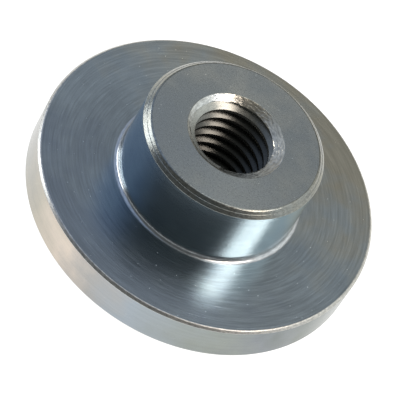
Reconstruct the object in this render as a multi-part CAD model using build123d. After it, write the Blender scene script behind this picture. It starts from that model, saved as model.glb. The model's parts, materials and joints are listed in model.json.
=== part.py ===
from build123d import *
from build123d.topology import SkipClean
from math import ceil, cos, radians, tan
import os

# Round flanged nut, M12: a plain round flange and a chamfered boss, turned from one bar.
# The thread axis is Z, the flange's underside is at Z = 0, and lengths are in millimetres.

# Driving dimensions
FLANGE_DIAMETER = 45.0
FLANGE_THICKNESS = 5.5
FLANGE_CHAMFER = 0.3
BOSS_DIAMETER = 24.0
NUT_HEIGHT = 15.5
BOSS_CHAMFER = 0.8
ROOT_FILLET = 0.6           # concave radius where the boss meets the flange

THREAD_DIAMETER = 12.0      # M12, coarse, right-hand
THREAD_PITCH = 1.75
COUNTERSINK_DIAMETER = 12.9
COUNTERSINK_ANGLE = 120.0   # included angle, at both ends of the hole

# ISO metric profile: flanks at 60 degrees, crest flat of P/4 and root flat of P/8
SHARP_HEIGHT = THREAD_PITCH * cos(radians(30))
MAJOR_RADIUS = THREAD_DIAMETER / 2
MINOR_RADIUS = MAJOR_RADIUS - 5 / 8 * SHARP_HEIGHT
ROOT_FLAT = THREAD_PITCH / 8
OVERLAP = 0.08              # how far the groove's cutter stands inside the tapping hole

TAPPING_ARCS = 8            # the hole's wall is this many equal arcs, so no crest face is long


def turned_blank():
    """The outside of the nut, turned about Z as one solid with no hole yet."""
    flange, boss = FLANGE_DIAMETER / 2, BOSS_DIAMETER / 2
    top, face, bevel = NUT_HEIGHT, FLANGE_THICKNESS, FLANGE_CHAMFER
    with BuildSketch(Plane.XZ) as section:
        with BuildLine():
            Polyline(
                (0, 0),
                (flange - bevel, 0),
                (flange, bevel),
                (flange, face - bevel),
                (flange - bevel, face),
                (boss + ROOT_FILLET, face),
            )
            root_centre = (boss + ROOT_FILLET, face + ROOT_FILLET)
            CenterArc(root_centre, ROOT_FILLET, 180, 90)
            Polyline(
                (boss, face + ROOT_FILLET),
                (boss, top - BOSS_CHAMFER),
                (boss - BOSS_CHAMFER, top),
                (0, top),
                (0, 0),
            )
        make_face()
    return revolve(section.sketch, Axis.Z)


def tapping_hole():
    """The plain hole that the thread is cut in, as wide as the thread's minor diameter."""
    step = 360 / TAPPING_ARCS
    arcs = [
        Edge.make_circle(MINOR_RADIUS, start_angle=k * step, end_angle=(k + 1) * step)
        for k in range(TAPPING_ARCS)
    ]
    return Solid.extrude(Face(Wire(arcs)), (0, 0, NUT_HEIGHT))


def countersink(mouth, inward):
    """The cone cut into one end; mouth is the end's height, inward is +1 or -1 along Z."""
    rim = COUNTERSINK_DIAMETER / 2
    depth = rim / tan(radians(COUNTERSINK_ANGLE / 2))
    with BuildSketch(Plane.XZ) as half:
        with BuildLine():
            Polyline((0, mouth), (rim, mouth), (0, mouth + inward * depth), (0, mouth))
        make_face()
    return revolve(half.sketch, Axis.Z)


def thread_turn(height):
    """One turn of the V groove, swept up a right-hand helix from this height on the +X side."""
    inner = MINOR_RADIUS - OVERLAP
    half_root = ROOT_FLAT / 2
    half_mouth = half_root + (MAJOR_RADIUS - inner) * tan(radians(30))
    corners = [
        (inner, 0, height - half_mouth),
        (MAJOR_RADIUS, 0, height - half_root),
        (MAJOR_RADIUS, 0, height + half_root),
        (inner, 0, height + half_mouth),
    ]
    path = Edge.make_helix(THREAD_PITCH, THREAD_PITCH, MAJOR_RADIUS, center=(0, 0, height))
    return Solid.sweep(Face(Wire.make_polygon(corners)), path, is_frenet=True)


def flanged_nut():
    """The finished nut: the blank, less the tapping hole, both countersinks and the thread."""
    turns = ceil(NUT_HEIGHT / THREAD_PITCH) + 2     # the groove runs out past both ends
    with SkipClean():                               # keeps the hole's arcs apart
        nut = turned_blank().cut(tapping_hole())
        nut = nut.cut(countersink(NUT_HEIGHT, -1))
        nut = nut.cut(countersink(0, +1))
        for turn in range(turns):
            nut = nut.cut(thread_turn((turn - 1) * THREAD_PITCH))
    return nut


os.makedirs("parts", exist_ok=True)
nut = flanged_nut()
print("solids", len(nut.solids()), "valid", nut.is_valid, "volume", round(nut.volume, 1), "mm3")
export_step(nut, "parts/flanged_nut.step")
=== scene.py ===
# %% [markdown]
# # A flanged round nut in blue-passivated, zinc-plated steel
# The nut is turned from one bar: a flat flange, a boss standing on it, and an M12 thread through both.
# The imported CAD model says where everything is. This lesson loads it, rebuilds the nut as a finer
# mesh with softened edges and a true helical thread, gives it its plated finish, and sets up a studio.

# %% Load the frame
import json
from math import cos, pi, radians, sin, tan

import bmesh
import bpy
import numpy as np
from mathutils import Matrix, Vector


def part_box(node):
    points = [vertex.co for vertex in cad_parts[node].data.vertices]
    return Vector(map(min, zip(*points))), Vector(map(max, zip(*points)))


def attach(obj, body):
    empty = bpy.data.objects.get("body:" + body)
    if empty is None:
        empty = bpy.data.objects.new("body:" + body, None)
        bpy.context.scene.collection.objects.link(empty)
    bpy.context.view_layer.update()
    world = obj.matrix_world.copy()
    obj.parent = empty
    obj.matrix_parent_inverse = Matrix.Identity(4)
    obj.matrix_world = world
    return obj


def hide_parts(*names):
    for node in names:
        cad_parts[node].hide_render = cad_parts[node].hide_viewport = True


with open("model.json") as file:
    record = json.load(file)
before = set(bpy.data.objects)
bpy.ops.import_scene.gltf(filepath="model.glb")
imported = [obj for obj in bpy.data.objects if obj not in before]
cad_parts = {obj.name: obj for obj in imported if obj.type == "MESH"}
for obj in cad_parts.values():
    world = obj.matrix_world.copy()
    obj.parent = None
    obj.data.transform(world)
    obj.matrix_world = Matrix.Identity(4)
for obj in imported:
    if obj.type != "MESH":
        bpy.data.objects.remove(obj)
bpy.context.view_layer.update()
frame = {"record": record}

NODE = "flanged_nut"
MM = 0.001                      # every length below is in millimetres times MM

# %% [markdown]
# ## The sizes
# The record's mounts are the nut's interfaces, so its sizes are read from them and never typed twice.
# Only what a mount can't say is named here: the thread's pitch and major diameter, and the small
# radii and bevels that the lathe tool leaves.

# %% Read the sizes from the frame
mounts = {mount["name"]: mount for mount in frame["record"]["mounts"]}
low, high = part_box(NODE)
FLANGE_R = (high[0] - low[0]) / 2
TOP = high[2]
FLANGE_TOP = mounts["flange_face"]["pos_m"][2]
BOSS_R = mounts["boss_spigot"]["dims"]["r_mm"] * MM
MINOR_R = mounts["thread"]["dims"]["r_mm"] * MM

PITCH = 1.75 * MM               # M12 coarse
MAJOR_R = 6.0 * MM
MOUTH_R = 6.45 * MM             # the countersink's radius at the face
CONE_FALL = tan(radians(30))    # how far its cone falls for each step inwards: 120 degrees included
FLANGE_BEVEL = 0.3 * MM
BOSS_BEVEL = 0.8 * MM
ROOT_FILLET = 0.6 * MM
EDGE_SOFTNESS = 0.1 * MM        # radius that tumbling and plating leave on a sharp corner
BOSS_END_SOFTNESS = 0.4 * MM    # the boss's end runs into its bevel over a wider radius
MOUTH_SOFTNESS = 0.2 * MM       # and so does the face into the countersink
FLANGE_EDGE_SOFTNESS = 0.25 * MM
RIDGE = 0.05 * MM               # a flat left half way down the boss's bevel, where two cuts meet
COLUMNS = 288                   # steps round the axis, for every surface
print("flange radius", round(FLANGE_R / MM, 3), "boss radius", round(BOSS_R / MM, 3), "mm")

# %% [markdown]
# ## The outside as one turned profile
# A lathe tool draws a line in the radius-height plane, and the bar's turning sweeps it round. So the
# outside is one polyline whose corners are rounded by arcs, each corner with its own radius. A Bevel
# modifier could round the CAD mesh's corners too, but loose triangles bevel badly, and a profile
# gives even rows of faces that a finish can follow.

# %% Round the corners of a profile
SUPPORT = 0.05 * MM             # a row this near an arc keeps the long flat beside it shaded flat


def supported(points):
    """The same polyline with two points added on each long run, a small gap from its ends."""
    run = np.diff(points, axis=0)
    length = np.linalg.norm(run, axis=1, keepdims=True)
    near, far = points[:-1] + run * SUPPORT / length, points[1:] - run * SUPPORT / length
    threes = np.stack([points[:-1], near, far], axis=1)
    keep = np.repeat(length > 4 * SUPPORT, 3, axis=1)
    keep[:, 0] = True
    return np.concatenate([threes[keep], points[-1:]])


def rounded(corners, steps=5):
    """Points (radius, height) along a polyline whose inner corners are arcs.

    Each corner is (radius, height, rounding). An arc starts rounding * tan(turn / 2) before its
    corner and ends as far after it, and its points divide the turn evenly.
    """
    points = [corners[0][:2]]
    for before, corner, after in zip(corners, corners[1:], corners[2:]):
        here, rounding = np.array(corner[:2]), corner[2]
        back = np.array(before[:2]) - here
        ahead = np.array(after[:2]) - here
        back, ahead = back / np.linalg.norm(back), ahead / np.linalg.norm(ahead)
        half = np.arccos(np.clip(back @ ahead, -1, 1)) / 2
        centre = here + (back + ahead) / np.linalg.norm(back + ahead) * rounding / np.sin(half)
        start = here + back * rounding / np.tan(half) - centre
        end = here + ahead * rounding / np.tan(half) - centre
        share = np.linspace(0, 1, steps + 1)[:, None]
        turn = np.pi - 2 * half
        arc = (np.sin((1 - share) * turn) * start + np.sin(share * turn) * end) / np.sin(turn)
        points.extend((centre + arc).tolist())
    points.append(corners[-1][:2])
    return supported(np.array(points))


print("support gap:", SUPPORT / MM, "mm")

# %% Draw the outside
MOUTH_RING_R = MOUTH_R - EDGE_SOFTNESS      # the ring on the cone where outside and hole meet
MOUTH_DEPTH = EDGE_SOFTNESS * CONE_FALL     # and how deep it lies below the face


def outside():
    """The turned profile from the top of the hole, over the boss and flange, to its bottom."""
    soft, half = EDGE_SOFTNESS, BOSS_BEVEL / 2
    crisp = 0.2 * RIDGE         # the hollow above the ridge is nearly sharp
    return rounded([
        (MOUTH_RING_R, TOP - MOUTH_DEPTH),
        (MOUTH_R, TOP, MOUTH_SOFTNESS),
        (BOSS_R - BOSS_BEVEL, TOP, BOSS_END_SOFTNESS),
        (BOSS_R - half - RIDGE / 2, TOP - half, crisp),
        (BOSS_R - half + RIDGE / 2, TOP - half, RIDGE),
        (BOSS_R, TOP - BOSS_BEVEL, soft),
        (BOSS_R, FLANGE_TOP, ROOT_FILLET),
        (FLANGE_R - FLANGE_BEVEL, FLANGE_TOP, FLANGE_EDGE_SOFTNESS),
        (FLANGE_R, FLANGE_TOP - FLANGE_BEVEL, soft),
        (FLANGE_R, FLANGE_BEVEL, soft),
        (FLANGE_R - FLANGE_BEVEL, 0, soft),
        (MOUTH_R, 0, MOUTH_SOFTNESS),
        (MOUTH_RING_R, MOUTH_DEPTH),
    ])


profile = outside()
print("profile points:", len(profile))

# %% [markdown]
# ## The surface swept round the axis
# Turning is a function of two parameters: how far along the profile, and how far round the axis. One
# array expression gives every vertex, and neighbouring rows and columns give the faces.

# %% Sweep rows of points round Z
angle = np.linspace(0, 2 * pi, COLUMNS + 1)


def grid(radius, height):
    """Vertices at (radius cos angle, radius sin angle, height), one row per profile point.

    Both arrays have a row per point and a column per angle; the last column is back at
    the first angle.
    """
    return np.stack([radius * np.cos(angle), radius * np.sin(angle), height], axis=-1)


def turned(points):
    """The grid of a profile whose rows are plain circles."""
    ones = np.ones_like(angle)
    return grid(points[:, :1] * ones, points[:, 1:] * ones)


shell = turned(profile)
print("shell grid:", shell.shape)

# %% [markdown]
# ## The thread
# A tap cuts one V groove along a helix, so the hole is a surface whose rows climb one pitch per turn.
# In the row's own coordinate the groove always looks the same: a flat root, two 60 degree flanks and
# the flat crest of the hole. The countersinks are cones that cut the thread away at both ends, and
# where the groove meets the cone it fades out, as it does after a real countersinking tool. A Screw
# modifier could sweep the same groove, but would leave both ends open.

# %% Shape the hole
CREST_SOFTNESS = 0.05 * MM      # how gently a flank turns into a crest, a root or the cone
FLANK = radians(30)             # a flank's slope from the radius


def soft_max(a, b, softness):
    """The larger of two values, with a smooth change between them: the mean plus half of
    the square root of the difference squared plus the softness squared."""
    return (a + b + np.sqrt((a - b) ** 2 + softness ** 2)) / 2


def groove_radius(along):
    """The hole's radius at a distance along the thread's own axis, with a groove at each pitch."""
    off = np.abs((along / PITCH + 0.5) % 1 - 0.5) * PITCH       # distance from the groove's middle
    half_root = PITCH / 16
    flank = MAJOR_R - (off - half_root) / tan(FLANK)
    inner = soft_max(flank, MINOR_R, CREST_SOFTNESS)
    return -soft_max(-inner, -MAJOR_R, CREST_SOFTNESS)


def cone_radius(height):
    """The countersink's radius at a height, from whichever end is nearer."""
    depth = np.minimum(height, TOP - height)
    return MOUTH_R - depth / CONE_FALL


print("thread depth:", round((MAJOR_R - MINOR_R) / MM, 3), "mm")

# %% Sweep the hole along the helix
ROWS_PER_PITCH = 24             # the seam column meets itself one pitch up, so this is whole


def row_starts():
    """Where each row starts on the +X side: evenly, from one pitch below the nut to its top."""
    step = PITCH / ROWS_PER_PITCH
    return np.arange(-ROWS_PER_PITCH, np.ceil(TOP / step) + 1) * step


def thread():
    """Rows that climb one pitch per turn, clipped to the mouths' rings at both ends."""
    start = row_starts()[:, None]
    climb = PITCH * angle / (2 * pi)
    height = np.clip(start + climb, MOUTH_DEPTH, TOP - MOUTH_DEPTH)
    radius = soft_max(groove_radius(height - climb), cone_radius(height), CREST_SOFTNESS)
    at_ring = (height <= MOUTH_DEPTH) | (height >= TOP - MOUTH_DEPTH)
    return grid(np.where(at_ring, MOUTH_RING_R, radius), height)


hole = thread()
print("hole grid:", hole.shape)

# %% [markdown]
# ## One closed skin
# The two grids share the ring inside each mouth, so merging points that coincide closes the skin.
# Rows that were clipped to a ring collapse there, and merging removes them too. Left as two meshes,
# they would show a seam in each mouth.

# %% Build the mesh
def quads(points, first):
    """Faces of a grid as four corner numbers each, counted from the grid's first vertex."""
    rows, columns = points.shape[:2]
    number = first + np.arange(rows * columns).reshape(rows, columns)
    corners = [number[:-1, :-1], number[:-1, 1:], number[1:, 1:], number[1:, :-1]]
    return np.stack(corners, axis=-1).reshape(-1, 4)


def closed_mesh(name, *grids):
    """A mesh of several grids with coinciding points merged and faces turned outwards."""
    points = np.concatenate([part.reshape(-1, 3) for part in grids])
    counts = np.cumsum([0] + [part.shape[0] * part.shape[1] for part in grids])
    faces = np.concatenate([quads(part, first) for part, first in zip(grids, counts)])
    mesh = bpy.data.meshes.new(name)
    mesh.from_pydata(points.tolist(), [], faces.tolist())
    work = bmesh.new()
    work.from_mesh(mesh)
    bmesh.ops.remove_doubles(work, verts=work.verts, dist=0.001 * MM)
    bmesh.ops.recalc_face_normals(work, faces=work.faces)
    open_edges = sum(not edge.is_manifold for edge in work.edges)
    work.to_mesh(mesh)
    work.free()
    print(name, "faces:", len(mesh.polygons), "open edges:", open_edges)
    return mesh


skin = closed_mesh("flanged_nut_skin", shell, hole)

# %% [markdown]
# ## The bands
# Each cut leaves its own surface, so each face takes the finish of the cut that made it. A face's
# place and slope say which cut that was, so no face has to be picked by hand.

# %% Tell the bands apart
BANDS = ["flange face", "boss end", "boss wall", "root", "rim", "edge", "bevel", "cone", "hole"]
FLANGE_FACE, BOSS_END, BOSS_WALL, ROOT, RIM, EDGE, BEVEL, CONE, HOLE = range(len(BANDS))
SQUARE = radians(3)             # a face within this of level or upright is a flat or a wall
SHARP = radians(35)             # an edge that turns more than this isn't shaded smooth


def read(items, field, width):
    """One field of every item of a mesh, as an array with a row per item."""
    values = np.empty(len(items) * width)
    items.foreach_get(field, values)
    return values.reshape(-1, width)


centre = read(skin.polygons, "center", 3)
normal = read(skin.polygons, "normal", 3)
from_axis, height = np.hypot(centre[:, 0], centre[:, 1]), centre[:, 2]
flat = np.abs(normal[:, 2]) > cos(SQUARE)
upright = np.abs(normal[:, 2]) < sin(SQUARE)
in_mouth = from_axis < MOUTH_R
on_cone = in_mouth & (np.abs(from_axis - cone_radius(height)) < CREST_SOFTNESS)
on_boss = from_axis < BOSS_R + 0.5 * SUPPORT
above_root = height > FLANGE_TOP + ROOT_FILLET
beside_boss = ~in_mouth & ~flat & (from_axis < BOSS_R + ROOT_FILLET)
in_root = beside_boss & (height > FLANGE_TOP) & (height < FLANGE_TOP + ROOT_FILLET)
print("faces in the root:", int(in_root.sum()), "on the cones:", int(on_cone.sum()))

# %% Give each face its band
choices = [                     # the first that holds for a face is its band
    (on_cone, CONE),
    (in_mouth, HOLE),
    (flat & above_root, BOSS_END),
    (flat, FLANGE_FACE),
    (in_root, ROOT),
    (upright & on_boss, BOSS_WALL),
    (upright, RIM),
    (~on_boss, EDGE),
]
band = np.select([where for where, _ in choices], [number for _, number in choices], BEVEL)
skin.polygons.foreach_set("material_index", band.astype(np.int32))
skin.shade_smooth()
skin.set_sharp_from_angle(angle=SHARP)
print("faces per band:", dict(zip(BANDS, np.bincount(band).tolist())))

# %% Stand it in for the CAD node
nut = bpy.data.objects.new("flanged_nut_body", skin)
bpy.context.scene.collection.objects.link(nut)
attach(nut, "root")
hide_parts(NODE)
print(nut.name, "stands in for", NODE)

# %% [markdown]
# ## The finish
# Bright zinc plating is a thin, mirror-like coat that copies the steel under it, so what the eye
# sees is the lathe's work: concentric lines on the flats, finer ones on the walls. A blue
# passivation then leaves a clear film whose thickness wanders, and a film that thin tints what it
# reflects: bluish here, straw or tan there. The tint is a property of the place on the nut, so it is
# drawn from Object coordinates, and one function makes every band's finish from a few values.

# %% Colours and a helper that adds a node
def linear(code):
    """An sRGB hex colour as linear RGBA: each part is divided by 12.92 where dark, and otherwise
    raised to the power 2.4 after adding 0.055 and dividing by 1.055."""
    part = np.array([int(code[k:k + 2], 16) for k in (1, 3, 5)]) / 255
    value = np.where(part <= 0.04045, part / 12.92, ((part + 0.055) / 1.055) ** 2.4)
    return (*value.tolist(), 1.0)


def add(tree, kind, inputs, **settings):
    """A new node with its settings; each input is given a value, or another node's output."""
    node = tree.nodes.new(kind)
    for name, value in settings.items():
        setattr(node, name, value)
    for key, value in inputs.items():
        if isinstance(value, bpy.types.NodeSocket):
            tree.links.new(value, node.inputs[key])
        else:
            node.inputs[key].default_value = value
    return node


def new_material(name):
    """An empty material's node tree, with its Principled shader wired to the output."""
    material = bpy.data.materials.new(name)
    material.use_nodes = True
    tree = material.node_tree
    return material, tree, tree.nodes["Principled BSDF"]


print("a blue film's middle, as linear light:", linear("#ABB6BA"))

# %% Where on the nut: radius, direction and height
def place(tree):
    """Outputs for the point, its distance from the axis, its direction round it and its height."""
    point = add(tree, "ShaderNodeTexCoord", {}).outputs["Object"]
    parts = add(tree, "ShaderNodeSeparateXYZ", {"Vector": point})
    flat = add(tree, "ShaderNodeCombineXYZ", {"X": parts.outputs["X"], "Y": parts.outputs["Y"]})
    radius = add(tree, "ShaderNodeVectorMath", {0: flat.outputs[0]}, operation="LENGTH")
    around = add(tree, "ShaderNodeVectorMath", {0: flat.outputs[0]}, operation="NORMALIZE")
    return point, radius.outputs["Value"], around.outputs["Vector"], parts.outputs["Z"]


def scaled(tree, colour, value, low, high, *bounds):
    """A colour times a factor that goes from low to high as the value crosses its bounds."""
    factor = add(tree, "ShaderNodeMapRange", {"Value": value, "From Min": bounds[0],
                                              "From Max": bounds[1], "To Min": low, "To Max": high})
    times = add(tree, "ShaderNodeVectorMath", {0: colour, "Scale": factor.outputs[0]}, operation="SCALE")
    return times.outputs["Vector"]


print("helpers:", [helper.__name__ for helper in (linear, add, new_material, place, scaled)])

# %% [markdown]
# ## What a cut and a film leave
# Lathe lines are long and thin, so their noise changes quickly across the tool's path and slowly
# along it. A real feed is about 0.05 to 0.2 mm a turn. The finest marks would be too small to show,
# so the lines here are 0.1 to 0.4 mm apart. The film's tint is a slow drift across the nut, with
# clouds about 4 mm wide on top.

# %% Lines, film and pits
CLOUD = 3.85 * MM
PIT_SPACING = 0.667 * MM
PIT_RADIUS = 0.06 * MM
PITTED_SHARE = 0.25             # the part of the pattern's cells that has a pit


def lathe_lines(tree, across, around, spacing, run):
    """Noise that changes every spacing across the tool's path and slowly along it: it reads the
    direction round the axis times run, plus the distance across divided by the spacing."""
    count = add(tree, "ShaderNodeMath", {0: across, 1: 1 / spacing}, operation="MULTIPLY")
    step = add(tree, "ShaderNodeCombineXYZ", {"Z": count.outputs[0]})
    ring = add(tree, "ShaderNodeVectorMath", {0: around, "Scale": run}, operation="SCALE")
    where = add(tree, "ShaderNodeVectorMath", {0: ring.outputs[0], 1: step.outputs[0]})
    noise = add(tree, "ShaderNodeTexNoise", {"Vector": where.outputs[0], "Scale": 1.0, "Detail": 2.0})
    return noise.outputs["Fac"]


def film_tint(tree, point, colours, drift, mottle):
    """The passivation film's tint: a drift across the nut, per metre along X and Y, plus a cloudy
    noise times mottle, looked up in a colour ramp whose middle is the nut's axis."""
    across = add(tree, "ShaderNodeVectorMath", {0: point, 1: (*drift, 0)}, operation="DOT_PRODUCT")
    cloud = add(tree, "ShaderNodeTexNoise", {"Vector": point, "Scale": 1 / CLOUD, "Detail": 6.0})
    level = add(tree, "ShaderNodeMath", {0: cloud.outputs["Fac"], 1: mottle, 2: 0.5 - mottle / 2},
                operation="MULTIPLY_ADD")
    where = add(tree, "ShaderNodeMath", {0: level.outputs[0], 1: across.outputs["Value"]})
    ramp = add(tree, "ShaderNodeValToRGB", {"Fac": where.outputs[0]})
    stops = ramp.color_ramp.elements
    for number, (position, colour) in enumerate(colours):
        stop = stops[number] if number < len(stops) else stops.new(position)
        stop.position = position
        stop.color = linear(colour)
    return ramp.outputs["Color"]


def specks(tree, point):
    """One where a tiny round pit is, in some of the cells of a scattered pattern, and nought
    elsewhere."""
    cells = add(tree, "ShaderNodeTexVoronoi", {"Vector": point, "Scale": 1 / PIT_SPACING})
    near = add(tree, "ShaderNodeMath", {0: cells.outputs["Distance"], 1: PIT_RADIUS / PIT_SPACING},
               operation="LESS_THAN")
    chance = add(tree, "ShaderNodeSeparateColor", {0: cells.outputs["Color"]})
    picked = add(tree, "ShaderNodeMath", {0: chance.outputs[0], 1: PITTED_SHARE},
                 operation="LESS_THAN")
    both = add(tree, "ShaderNodeMath", {0: near.outputs[0], 1: picked.outputs[0]},
               operation="MULTIPLY")
    return both.outputs[0]


print("clouds and pits, in mm:", round(CLOUD / MM, 2), round(2 * PIT_RADIUS / MM, 2))

# %% Plated steel
LINES_FROM, LINES_TO = 0.25, 0.75       # the lines' noise mostly lies between these
SMOOTHER, ROUGHER = 0.8, 1.25           # how far the roughness varies with the lines, as factors
PIT_BRIGHTNESS = 1.35                   # times the tint
PIT_ROUGHNESS = 0.4                     # added to the roughness
QUARTER_TURN = 0.25                     # a whole turn of the highlight's direction is one


def plated_steel(name, film, drift, mottle, across, spacing, run, shading, relief,
                 rough, anisotropic, pitted=False):
    """Zinc-plated steel: a film's tint over the lines that a cut left, and pits if wanted.

    The film has colours, and wanders by drift and mottle as film_tint says. The cut's lines lie
    across the radius or the height, by spacing and run as lathe_lines says. Shading is how much the
    lines lighten and darken the tint, and relief is how deep they are. The tangent follows the cut
    round the axis, and a quarter turn from it, the anisotropy stretches the highlights across the
    lines, as fine grooves do.
    """
    material, tree, shader = new_material(name)
    point, radius, around, height = place(tree)
    path = {"radius": radius, "height": height}[across]
    lines = lathe_lines(tree, path, around, spacing, run)
    tint = scaled(tree, film_tint(tree, point, film, drift, mottle), lines,
                  1 - shading, 1 + shading, LINES_FROM, LINES_TO)
    uneven = add(tree, "ShaderNodeMapRange", {"Value": lines, "To Min": rough * SMOOTHER,
                                              "To Max": rough * ROUGHER}).outputs[0]
    if pitted:
        pits = specks(tree, point)
        tint = scaled(tree, tint, pits, 1.0, PIT_BRIGHTNESS, 0.0, 1.0)
        uneven = add(tree, "ShaderNodeMath", {0: pits, 1: PIT_ROUGHNESS, 2: uneven},
                     operation="MULTIPLY_ADD", use_clamp=True).outputs[0]
    tree.links.new(tint, shader.inputs["Base Color"])
    tree.links.new(uneven, shader.inputs["Roughness"])
    shader.inputs["Metallic"].default_value = 1.0
    shader.inputs["Anisotropic"].default_value = anisotropic
    shader.inputs["Anisotropic Rotation"].default_value = QUARTER_TURN
    tangent = add(tree, "ShaderNodeTangent", {}, direction_type="RADIAL", axis="Z")
    tree.links.new(tangent.outputs[0], shader.inputs["Tangent"])
    bump = add(tree, "ShaderNodeBump", {"Height": lines, "Strength": 1.0, "Distance": relief})
    tree.links.new(bump.outputs[0], shader.inputs["Normal"])
    return material


finishes = {}
WARM_TO_BACK = (5.0, 15.0)      # the film drifts from blue in front to straw behind
print("drift from front to back of the flange:", round(WARM_TO_BACK[1] * 2 * FLANGE_R, 2))

# %% [markdown]
# ## Faced surfaces
# A facing cut feeds the tool straight across the end of the turning bar, so its lines are rings. To
# the eye that gives a satin surface on which each light is drawn out along the radius, as a streak.
# The flange's face was cut with the coarser feed, and is a little rougher towards its edge, where the
# bar runs faster past the tool. The boss's end is finer and looks nearly even.

# %% The flange's face
BLUE_FILM = [(0.22, "#959FA7"), (0.38, "#A1ABAF"), (0.50, "#ABB6BA"), (0.65, "#BABFBA"),
             (0.82, "#C0BAA6")]
finishes[FLANGE_FACE] = plated_steel(
    "faced_blue_zinc_plated_steel", BLUE_FILM, WARM_TO_BACK, 0.5,
    across="radius", spacing=0.22 * MM, run=4.0, shading=0.14, relief=0.0045 * MM,
    rough=0.22, anisotropic=0.45, pitted=True)


def rougher_outwards(material, factor_at_edge, margin):
    """Multiplies a finish's roughness by a factor that rises smoothly from one, a margin outside
    the boss, to the factor given, a margin inside the flange's edge."""
    tree = material.node_tree
    factor = add(tree, "ShaderNodeMapRange", {"Value": place(tree)[1], "From Min": BOSS_R + margin,
                                              "From Max": FLANGE_R - margin, "To Min": 1.0,
                                              "To Max": factor_at_edge},
                 interpolation_type="SMOOTHSTEP")
    socket = tree.nodes["Principled BSDF"].inputs["Roughness"]
    coarser = add(tree, "ShaderNodeMath", {0: socket.links[0].from_socket, 1: factor.outputs[0]},
                  operation="MULTIPLY")
    tree.links.new(coarser.outputs[0], socket)


rougher_outwards(finishes[FLANGE_FACE], 1.1, 3 * MM)
print("flange face:", finishes[FLANGE_FACE].name)

# %% The boss's end
END_FILM = [(0.20, "#AAB0B0"), (0.50, "#ACB1AE"), (0.80, "#BFC0B7")]
finishes[BOSS_END] = plated_steel(
    "fine_faced_zinc_plated_steel", END_FILM, WARM_TO_BACK, 1.0,
    across="radius", spacing=0.14 * MM, run=40.0, shading=0.06, relief=0.0015 * MM,
    rough=0.28, anisotropic=0.45, pitted=True)
print("boss end:", finishes[BOSS_END].name)

# %% [markdown]
# ## Turned walls
# A turning cut feeds the tool along the axis, so its lines are circles one above another. The boss's
# wall had the lightest cut and is the brightest mirror: dark where the room is dark, with one hard
# white highlight. The fillet at its root was cut by the tool's round nose, and is pale and a little
# ragged. The rim mirrors the table, so it looks pale. Its tint goes from straw and pink on the left,
# through bluish grey, to a darker green on the right: the hues are the film's, and the fall from light
# on the left to dark on the right is painted shade.

# %% The boss's wall and its root
WALL_FILM = [(0.15, "#98AAB5"), (0.50, "#A6B5BC"), (0.85, "#B4BAB8")]
finishes[BOSS_WALL] = plated_steel(
    "turned_blue_zinc_plated_steel", WALL_FILM, WARM_TO_BACK, 0.6,
    across="height", spacing=0.25 * MM, run=2.0, shading=0.05, relief=0.0006 * MM,
    rough=0.17, anisotropic=0.4)
ROOT_FILM = [(0.20, "#B4BBC0"), (0.80, "#D2D2CF")]
finishes[ROOT] = plated_steel(
    "root_turned_zinc_plated_steel", ROOT_FILM, WARM_TO_BACK, 0.2,
    across="radius", spacing=0.10 * MM, run=16.0, shading=0.25, relief=0.006 * MM,
    rough=0.21, anisotropic=0.5)
print("boss wall and root:", finishes[BOSS_WALL].name, finishes[ROOT].name)

# %% The rim
# The rim's stops run from light on the left to dark on the right: the hues are the film's, and that fall
# in brightness is painted shade.
ALONG_RIM = (20.0, 0.0)         # the film drifts from left to right
RIM_FILM_AND_PAINTED_SHADE = [(0.07, "#A3A29B"), (0.18, "#B9B3A5"), (0.28, "#CDC2B5"), (0.38, "#A6A5A2"),
            (0.50, "#9BA4AB"), (0.73, "#8F9590"), (0.82, "#80868A"), (0.92, "#68716B")]
finishes[RIM] = plated_steel(
    "turned_pale_zinc_plated_steel", RIM_FILM_AND_PAINTED_SHADE, ALONG_RIM, 0.2,
    across="height", spacing=0.40 * MM, run=2.0, shading=0.05, relief=0.0015 * MM,
    rough=0.20, anisotropic=0.3, pitted=True)
print("rim:", finishes[RIM].name)

# %% [markdown]
# ## Bevelled edges
# A bevel is cut in a moment, by a tool held at a slant, and chatters: its short dashes break the
# light into glints. The flange's edges are also knocked in handling, which leaves them rough and
# pale, as a thin light line round the dark face.

# %% The flange's edges and the boss's bevel
EDGE_FILM = [(0.20, "#BDBEBB"), (0.80, "#C4C1B6")]
finishes[EDGE] = plated_steel(
    "chamfered_zinc_plated_steel", EDGE_FILM, WARM_TO_BACK, 0.5,
    across="height", spacing=0.12 * MM, run=60.0, shading=0.3, relief=0.010 * MM,
    rough=0.34, anisotropic=0.0)
BEVEL_FILM = [(0.25, "#8E9493"), (0.50, "#90918A"), (0.80, "#939182")]
finishes[BEVEL] = plated_steel(
    "bevelled_zinc_plated_steel", BEVEL_FILM, WARM_TO_BACK, 1.0,
    across="height", spacing=0.12 * MM, run=32.0, shading=0.3, relief=0.016 * MM,
    rough=0.24, anisotropic=0.3)
print("edges:", finishes[EDGE].name, finishes[BEVEL].name)

# %% [markdown]
# ## The hole
# The countersink chatters most of all, so its cone is a ring of ragged glints. Inside, the tap tears
# the steel a little, and the plating hardly reaches, so the thread is partly matt. Its tint is bright
# near the mouth and darkens below and towards the back right: painted shade of the hole, on top of
# the thinner plating.

# %% The countersinks and the thread
ACROSS_HOLE = (45.0, 45.0)      # the film drifts from the front left to the back right of the hole
CONE_FILM = [(0.15, "#C2C2BA"), (0.45, "#BABFC0"), (0.90, "#CFC5AE")]
finishes[CONE] = plated_steel(
    "countersunk_zinc_plated_steel", CONE_FILM, ACROSS_HOLE, 0.3,
    across="height", spacing=0.12 * MM, run=9.0, shading=0.35, relief=0.05 * MM,
    rough=0.22, anisotropic=0.0)
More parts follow.
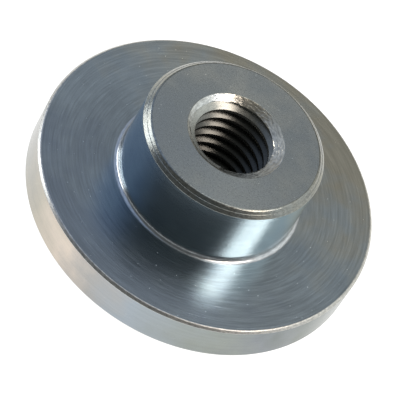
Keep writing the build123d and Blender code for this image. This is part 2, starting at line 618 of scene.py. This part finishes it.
# The thread's stops darken towards the back right of the hole: painted shade, on top of the film's hues.
HOLE_FILM_AND_PAINTED_SHADE = [(0.15, "#B2B6B0"), (0.50, "#A6A8A2"), (0.90, "#8A8B84")]
finishes[HOLE] = plated_steel(
    "tapped_zinc_plated_steel", HOLE_FILM_AND_PAINTED_SHADE, ACROSS_HOLE, 0.5,
    across="height", spacing=0.15 * MM, run=12.0, shading=0.14, relief=0.005 * MM,
    rough=0.27, anisotropic=0.0)


MATT_SHARE = 0.25               # the part of the light that the torn steel scatters
# Painted shade in the hole: the thread's tint darkens from the first depth below the nearer end to the
# second, and stays at the last factor of itself below that.
SHADE_FROM_DEPTH, FULL_SHADE_DEPTH = 0.9 * MM, 3.5 * MM
DEEPEST_PAINTED_SHADE = 0.28                  # times the tint, from the dull depth on


def dull_and_painted_shade_inside(material):
    """Makes a finish partly matt, and paints shade into its tint: darker with the depth below the nearer
    end.
    """
    tree = material.node_tree
    shader = tree.nodes["Principled BSDF"]
    shader.inputs["Metallic"].default_value = 1 - MATT_SHARE
    height = place(tree)[3]
    below = add(tree, "ShaderNodeMath", {0: TOP, 1: height}, operation="SUBTRACT")
    depth = add(tree, "ShaderNodeMath", {0: height, 1: below.outputs[0]}, operation="MINIMUM")
    colour = shader.inputs["Base Color"]
    bright = colour.links[0].from_socket
    dark = scaled(tree, bright, depth.outputs[0], 1.0, DEEPEST_PAINTED_SHADE, SHADE_FROM_DEPTH, FULL_SHADE_DEPTH)
    tree.links.new(dark, colour)


dull_and_painted_shade_inside(finishes[HOLE])
print("hole:", finishes[CONE].name, finishes[HOLE].name)

# %% Give the skin its finishes
for number in range(len(BANDS)):
    skin.materials.append(finishes[number])
print("finishes:", [material.name for material in skin.materials])

# %% [markdown]
# ## The table
# The nut stands on a pale lit table, so its rim and walls mirror a bright floor from below. The
# table gives no light where the nut covers it, and its glow starts just inside the flange's edge.

# %% Floor
FLOOR_HALF = 2.0                # metres, far past the edge of any view
TABLE_GLOW = 1.0
GLOW_MARGIN = 1.5 * MM          # how far inside the flange's edge the glow starts
floor = bpy.data.meshes.new("floor")
signs = [(-1, -1), (1, -1), (1, 1), (-1, 1)]
floor.from_pydata([(x * FLOOR_HALF, y * FLOOR_HALF, 0) for x, y in signs], [], [(0, 1, 2, 3)])
ground = bpy.data.objects.new("floor", floor)
bpy.context.scene.collection.objects.link(ground)

card, tree, shader = new_material("matt_white_table")
shader.inputs["Base Color"].default_value = linear("#9A9A99")
shader.inputs["Roughness"].default_value = 0.9
shader.inputs["Specular IOR Level"].default_value = 0.1
shader.inputs["Emission Color"].default_value = linear("#FFFFFF")
lit = add(tree, "ShaderNodeMapRange", {"Value": place(tree)[1], "From Min": FLANGE_R - GLOW_MARGIN,
                                       "From Max": FLANGE_R, "To Max": TABLE_GLOW},
          interpolation_type="SMOOTHSTEP")
tree.links.new(lit.outputs[0], shader.inputs["Emission Strength"])
floor.materials.append(card)
print("floor:", 2 * FLOOR_HALF, "m wide")

# %% [markdown]
# ## The lights
# Three softboxes draw the highlights. The strong one to the right runs down the boss and along the
# flange, a long low one to the left whitens the bevels and the fillet, and a weak one overhead lifts
# the flat faces. Small lights would leave hard spots on metal this bright, and a ring of lights
# would leave no dark in it.

# %% Softboxes
def heading(azimuth, elevation):
    """The unit vector towards an azimuth (from +X towards +Y) and an elevation, in degrees."""
    a, e = radians(azimuth), radians(elevation)
    return Vector((cos(e) * cos(a), cos(e) * sin(a), sin(e)))


LIGHT_DISTANCE = 0.6            # metres
SOFTBOXES = [                   # name, azimuth, elevation, width, height, radiance, colour
    ("right_light", -9, 52, 0.23, 0.25, 7.0, "#FFEFE4"),
    ("left_light", 176, 20, 0.42, 0.16, 4.5, "#FFFFFF"),
    ("overhead_light", 62, 73, 0.24, 0.20, 1.6, "#FFFFFF"),
]


def softbox(name, azimuth, elevation, width, height, radiance, colour):
    """A rectangular area light that faces the nut, as bright per area as radiance says."""
    lamp = bpy.data.lights.new(name, "AREA")
    lamp.shape = "RECTANGLE"
    lamp.size, lamp.size_y = width, height
    lamp.energy = radiance * pi * width * height
    lamp.color = linear(colour)[:3]
    light = bpy.data.objects.new(name, lamp)
    direction = heading(azimuth, elevation)
    light.location = direction * LIGHT_DISTANCE
    light.rotation_euler = (-direction).to_track_quat("-Z", "Y").to_euler()
    bpy.context.scene.collection.objects.link(light)
    print(name, round(lamp.energy, 3), "W")


for settings in SOFTBOXES:
    softbox(*settings)

# %% [markdown]
# ## The surroundings
# Bright metal shows the room more than itself. The room is dim behind the camera, which keeps the
# boss dark between its highlights. It is paler behind the nut and to the right, bluer to the left,
# and pale all round the horizon, which lights the walls in low views. Each glow is a smooth patch of
# the world, brightest in its own direction. A sky texture would be less work, but it shows the
# outdoors, and its horizon would be a hard line in every wall.

# %% World
DIM_ROOM = "#606262"
GLOWS = [                       # azimuth, elevation, spread in degrees, colour
    (95, 45, 75, "#767676"),
    (22, 34, 45, "#EEF2F4"),
    (155, 48, 48, "#7088B0"),
    (0, -90, 125, "#FFFFFF"),   # from below, so it is a band round the horizon
]
world = bpy.data.worlds.new("studio")
bpy.context.scene.world = world
world.use_nodes = True
air = world.node_tree
way = add(air, "ShaderNodeTexCoord", {}).outputs["Generated"]


def glow(before, azimuth, elevation, spread, colour):
    """Adds to the world a colour that fades to nothing at a spread in degrees from a heading."""
    along = add(air, "ShaderNodeVectorMath", {0: way, 1: heading(azimuth, elevation)},
                operation="DOT_PRODUCT")
    near = add(air, "ShaderNodeMapRange", {"Value": along.outputs["Value"],
                                           "From Min": cos(radians(spread)), "From Max": 1.0},
               interpolation_type="SMOOTHSTEP")
    both = add(air, "ShaderNodeMix", {"Factor": near.outputs[0], "A": before,
                                      "B": linear(colour)}, data_type="RGBA", blend_type="ADD")
    return both.outputs["Result"]


room = add(air, "ShaderNodeRGB", {})
room.outputs[0].default_value = linear(DIM_ROOM)
lit_room = room.outputs[0]
for settings in GLOWS:
    lit_room = glow(lit_room, *settings)
air.links.new(lit_room, air.nodes["Background"].inputs["Color"])
print("glows:", len(GLOWS))

# %% [markdown]
# ## The camera
# A long lens looks down on the nut from in front, and the camera is rolled, so the boss leans to the
# right. A long lens flattens depth, so the two ends of the nut look nearly the same size.

# %% Camera
ELEVATION, ROLL = 48.642, -31.908
DISTANCE = 382.2 * MM
LENS_MM, SENSOR_MM = 270, 36
AIM_RIGHT, AIM_UP = 0.3635 * MM, 1.0809 * MM        # where it aims, from the middle of the underside

away = heading(-90, ELEVATION)
right = Vector((1, 0, 0))
up = away.cross(right)
aim = right * AIM_RIGHT + up * AIM_UP
turned_right = right * cos(radians(ROLL)) - up * sin(radians(ROLL))
turned_up = right * sin(radians(ROLL)) + up * cos(radians(ROLL))
lens = bpy.data.cameras.new("camera")
lens.lens = LENS_MM
lens.sensor_width = SENSOR_MM
lens.clip_start, lens.clip_end = 0.01, 20
camera = bpy.data.objects.new("camera", lens)
facing = Matrix((turned_right, turned_up, away)).transposed()
camera.matrix_world = Matrix.Translation(aim + away * DISTANCE) @ facing.to_4x4()
bpy.context.scene.collection.objects.link(camera)
bpy.context.scene.camera = camera
bpy.context.scene.view_settings.view_transform = "Standard"
print("camera at", [round(value, 4) for value in camera.matrix_world.translation], "m")
